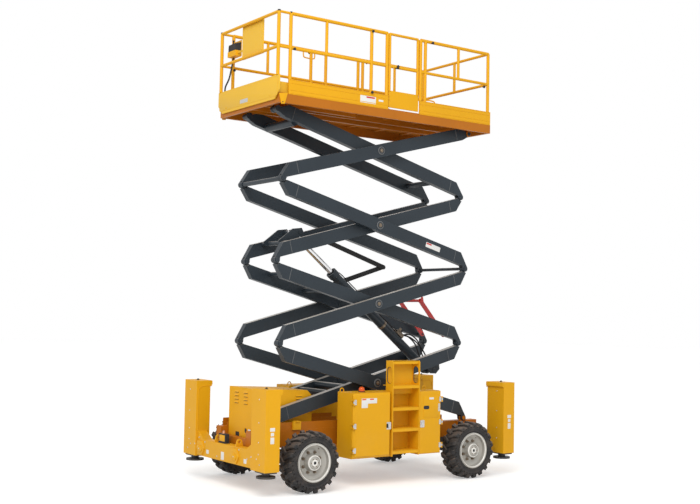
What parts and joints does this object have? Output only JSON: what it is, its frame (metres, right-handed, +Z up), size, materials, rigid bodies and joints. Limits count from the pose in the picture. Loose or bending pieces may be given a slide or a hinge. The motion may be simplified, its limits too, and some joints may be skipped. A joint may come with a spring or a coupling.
{
  "type": "rough-terrain scissor lift",
  "caption": "Electric rough-terrain scissor lift with a railed sliding platform, folding stack, outriggers, steered solid tyres, side cabinets and access ladder.",
  "frame": {"origin": "on the ground under the middle of the chassis", "axes": "+X forwards to the steered wheels, +Y to the machine's left, +Z up"},
  "size_m": [4.5049, 2.32, 6.6],
  "materials": {
    "body_yellow": "satin amber yellow paint",
    "arm_grey": "satin dark blue-grey paint",
    "rim_silver": "satin silver paint",
    "tyre_rubber": "moulded black rubber",
    "chassis_dark": "satin black paint",
    "prop_red": "satin red paint",
    "rod_chrome": "polished chrome",
    "hose_black": "matt black nylon",
    "console_grey": "textured dark grey plastic"
  },
  "bodies": {
    "chassis": {"chassis_rails": "body_yellow", "cross_members": "chassis_dark", "cross_beams": "body_yellow", "outrigger_columns": "body_yellow", "lifting_lugs": "body_yellow", "front_cabinet": "body_yellow", "front_axle": "chassis_dark", "rear_axle": "chassis_dark", "side_cabinet_left": "body_yellow", "side_cabinet_right": "body_yellow", "battery_packs": "chassis_dark", "ladder": "body_yellow"},
    "knuckle_left": {"knuckle_left": "chassis_dark"},
    "knuckle_right": {"knuckle_right": "chassis_dark"},
    "tie_rod": {"tie_rod": "chassis_dark"},
    "stage4_outer": {"stage4_outer_arms": "arm_grey"},
    "stage4_inner": {"stage4_inner_arms": "arm_grey", "stage4_inner_tubes": "arm_grey"},
    "stage3_outer": {"stage3_outer_arms": "arm_grey", "stage3_outer_tube": "arm_grey"},
    "stage3_inner": {"stage3_inner_arms": "arm_grey", "stage3_inner_tubes": "arm_grey"},
    "stage2_outer": {"stage2_outer_arms": "arm_grey", "stage2_outer_tube": "arm_grey"},
    "stage2_inner": {"stage2_inner_arms": "arm_grey", "stage2_inner_tubes": "arm_grey"},
    "stage1_outer": {"stage1_outer_arms": "arm_grey"},
    "stage1_inner": {"stage1_inner_arms": "arm_grey", "stage1_inner_tubes": "arm_grey"},
    "lift_barrel": {"lift_cylinder_barrel": "arm_grey"},
    "lift_rod": {"lift_cylinder_rod": "rod_chrome"},
    "hose_guide_upper": {"hose_guide_upper": "hose_black"},
    "hose_guide_lower": {"hose_guide_lower": "hose_black"},
    "safety_prop": {"safety_prop": "prop_red"},
    "platform": {"platform_frame": "body_yellow", "toe_boards": "body_yellow", "platform_rails_left": "body_yellow", "platform_rails_right": "body_yellow", "platform_rails_rear": "body_yellow"},
    "extension": {"extension_deck": "body_yellow", "extension_rails": "body_yellow", "platform_console": "console_grey"},
    "gate": {"platform_gate": "body_yellow"},
    "wheel_front_left": {"tyre_front_left": "tyre_rubber", "rim_front_left": "rim_silver"},
    "outrigger_front_left": {"outrigger_leg_front_left": "body_yellow"},
    "wheel_front_right": {"tyre_front_right": "tyre_rubber", "rim_front_right": "rim_silver"},
    "outrigger_front_right": {"outrigger_leg_front_right": "body_yellow"},
    "wheel_rear_left": {"tyre_rear_left": "tyre_rubber", "rim_rear_left": "rim_silver"},
    "outrigger_rear_left": {"outrigger_leg_rear_left": "body_yellow"},
    "wheel_rear_right": {"tyre_rear_right": "tyre_rubber", "rim_rear_right": "rim_silver"},
    "outrigger_rear_right": {"outrigger_leg_rear_right": "body_yellow"},
    "front_door_left": {"front_door_left": "body_yellow"},
    "front_door_right": {"front_door_right": "body_yellow"},
    "rear_door_left": {"rear_door_left": "body_yellow"},
    "rear_door_right": {"rear_door_right": "body_yellow"}
  },
  "joints": [
    {"name": "lift", "type": "hinge", "parent": "chassis", "child": "stage4_outer", "pos_m": [-1.69111, 0, 0.85], "axis": [0, -1, 0], "range_deg": [-13.96, 39.04]},
    {"name": "stage3_outer_pin", "type": "hinge", "parent": "stage4_outer", "child": "stage3_outer", "pos_m": [1.68982, 0, 2.00698], "axis": [0, 1, 0], "range_deg": [-27.97, 78.13]},
    {"name": "stage2_outer_pin", "type": "hinge", "parent": "stage3_outer", "child": "stage2_outer", "pos_m": [-1.68982, 0, 3.16879], "axis": [0, -1, 0], "range_deg": [-27.97, 78.13]},
    {"name": "stage1_outer_pin", "type": "hinge", "parent": "stage2_outer", "child": "stage1_outer", "pos_m": [1.69627, 0, 4.30645], "axis": [0, 1, 0], "range_deg": [-27.97, 78.13]},
    {"name": "platform_pin", "type": "hinge", "parent": "stage1_outer", "child": "platform", "pos_m": [-1.72725, 0, 5.30403], "axis": [0, -1, 0], "range_deg": [-14.01, 39.09]},
    {"name": "stage4_centre_pin", "type": "hinge", "parent": "stage4_outer", "child": "stage4_inner", "pos_m": [0, 0, 1.42608], "axis": [0, 1, 0], "range_deg": [-27.97, 78.13]},
    {"name": "stage3_centre_pin", "type": "hinge", "parent": "stage3_outer", "child": "stage3_inner", "pos_m": [0, 0, 2.58789], "axis": [0, -1, 0], "range_deg": [-27.97, 78.13]},
    {"name": "stage2_centre_pin", "type": "hinge", "parent": "stage2_outer", "child": "stage2_inner", "pos_m": [0, 0, 3.7497], "axis": [0, 1, 0], "range_deg": [-27.97, 78.13]},
    {"name": "stage1_centre_pin", "type": "hinge", "parent": "stage1_outer", "child": "stage1_inner", "pos_m": [0, 0, 4.86321], "axis": [0, -1, 0], "range_deg": [-27.97, 78.13]},
    {"name": "cylinder_eye", "type": "hinge", "parent": "stage4_inner", "child": "lift_barrel", "pos_m": [-1.4002, 0, 1.57042], "axis": [0, -1, 0], "range_deg": [-27.27, 76.18]},
    {"name": "cylinder_stroke", "type": "slide", "parent": "lift_barrel", "child": "lift_rod", "axis": [0.7824, 0, 0.6228], "range_m": [-0.4994, 1.3947]},
    {"name": "hose_guide_upper_pin", "type": "hinge", "parent": "stage2_inner", "child": "hose_guide_upper", "pos_m": [0.5207, 0, 3.54846], "axis": [0, -1, 0], "range_deg": [-27.83, 77.74]},
    {"name": "hose_guide_lower_pin", "type": "hinge", "parent": "stage3_inner", "child": "hose_guide_lower", "pos_m": [0.5207, 0, 2.78912], "axis": [0, 1, 0], "range_deg": [-27.83, 77.74]},
    {"name": "safety_prop_hinge", "type": "hinge", "parent": "stage3_inner", "child": "safety_prop", "pos_m": [-1.54059, 0, 2.12449], "axis": [0, 1, 0], "range_deg": [-10, 32]},
    {"name": "steer_left", "type": "hinge", "parent": "chassis", "child": "knuckle_left", "pos_m": [1.43, 0.74, 0.42], "axis": [0, 0, 1], "range_deg": [-30, 30]},
    {"name": "steer_right", "type": "hinge", "parent": "chassis", "child": "knuckle_right", "pos_m": [1.43, -0.74, 0.42], "axis": [0, 0, 1], "range_deg": [-30, 30]},
    {"name": "tie_rod_slide", "type": "slide", "parent": "chassis", "child": "tie_rod", "axis": [0, -1, 0], "range_m": [-0.0635, 0.0635]},
    {"name": "wheel_front_left_spin", "type": "hinge", "parent": "knuckle_left", "child": "wheel_front_left", "pos_m": [1.43, 0.98, 0.42], "axis": [0, 1, 0], "continuous": true},
    {"name": "wheel_front_right_spin", "type": "hinge", "parent": "knuckle_right", "child": "wheel_front_right", "pos_m": [1.43, -0.98, 0.42], "axis": [0, 1, 0], "continuous": true},
    {"name": "wheel_rear_left_spin", "type": "hinge", "parent": "chassis", "child": "wheel_rear_left", "pos_m": [-1.43, 0.98, 0.42], "axis": [0, 1, 0], "continuous": true},
    {"name": "wheel_rear_right_spin", "type": "hinge", "parent": "chassis", "child": "wheel_rear_right", "pos_m": [-1.43, -0.98, 0.42], "axis": [0, 1, 0], "continuous": true},
    {"name": "outrigger_front_left_slide", "type": "slide", "parent": "chassis", "child": "outrigger_front_left", "axis": [0, 0, -1], "range_m": [0, 0.4]},
    {"name": "outrigger_front_right_slide", "type": "slide", "parent": "chassis", "child": "outrigger_front_right", "axis": [0, 0, -1], "range_m": [0, 0.4]},
    {"name": "outrigger_rear_left_slide", "type": "slide", "parent": "chassis", "child": "outrigger_rear_left", "axis": [0, 0, -1], "range_m": [0, 0.4]},
    {"name": "outrigger_rear_right_slide", "type": "slide", "parent": "chassis", "child": "outrigger_rear_right", "axis": [0, 0, -1], "range_m": [0, 0.4]},
    {"name": "extension_slide", "type": "slide", "parent": "platform", "child": "extension", "axis": [1, 0, 0], "range_m": [0, 1.2]},
    {"name": "gate_hinge", "type": "hinge", "parent": "platform", "child": "gate", "pos_m": [-0.524, 0.786, 6], "axis": [0, 0, -1], "range_deg": [0, 90]},
    {"name": "front_door_left_hinge", "type": "hinge", "parent": "chassis", "child": "front_door_left", "pos_m": [0.75, 1.062, 0.868], "axis": [0, 0, -1], "range_deg": [0, 110]},
    {"name": "rear_door_left_hinge", "type": "hinge", "parent": "chassis", "child": "rear_door_left", "pos_m": [-0.86, 1.062, 0.868], "axis": [0, 0, 1], "range_deg": [0, 110]},
    {"name": "front_door_right_hinge", "type": "hinge", "parent": "chassis", "child": "front_door_right", "pos_m": [0.75, -1.062, 0.868], "axis": [0, 0, 1], "range_deg": [0, 110]},
    {"name": "rear_door_right_hinge", "type": "hinge", "parent": "chassis", "child": "rear_door_right", "pos_m": [-0.86, -1.062, 0.868], "axis": [0, 0, -1], "range_deg": [0, 110]}
  ],
  "couplings": [
    {"joint": "stage3_outer_pin", "follows": "lift", "ratio": 2},
    {"joint": "stage2_outer_pin", "follows": "lift", "ratio": 2},
    {"joint": "stage1_outer_pin", "follows": "lift", "ratio": 2},
    {"joint": "platform_pin", "follows": "lift", "ratio": 1},
    {"joint": "stage4_centre_pin", "follows": "lift", "ratio": 2},
    {"joint": "stage3_centre_pin", "follows": "lift", "ratio": 2},
    {"joint": "stage2_centre_pin", "follows": "lift", "ratio": 2},
    {"joint": "stage1_centre_pin", "follows": "lift", "ratio": 2},
    {"joint": "cylinder_eye", "follows": "lift", "ratio": 1.95},
    {"joint": "cylinder_stroke", "follows": "lift", "m_per_rad": 2.0454},
    {"joint": "hose_guide_upper_pin", "follows": "lift", "ratio": 1.99},
    {"joint": "hose_guide_lower_pin", "follows": "lift", "ratio": 1.99},
    {"joint": "steer_right", "follows": "steer_left", "ratio": 1},
    {"joint": "tie_rod_slide", "follows": "steer_left", "m_per_rad": 0.12}
  ]
}
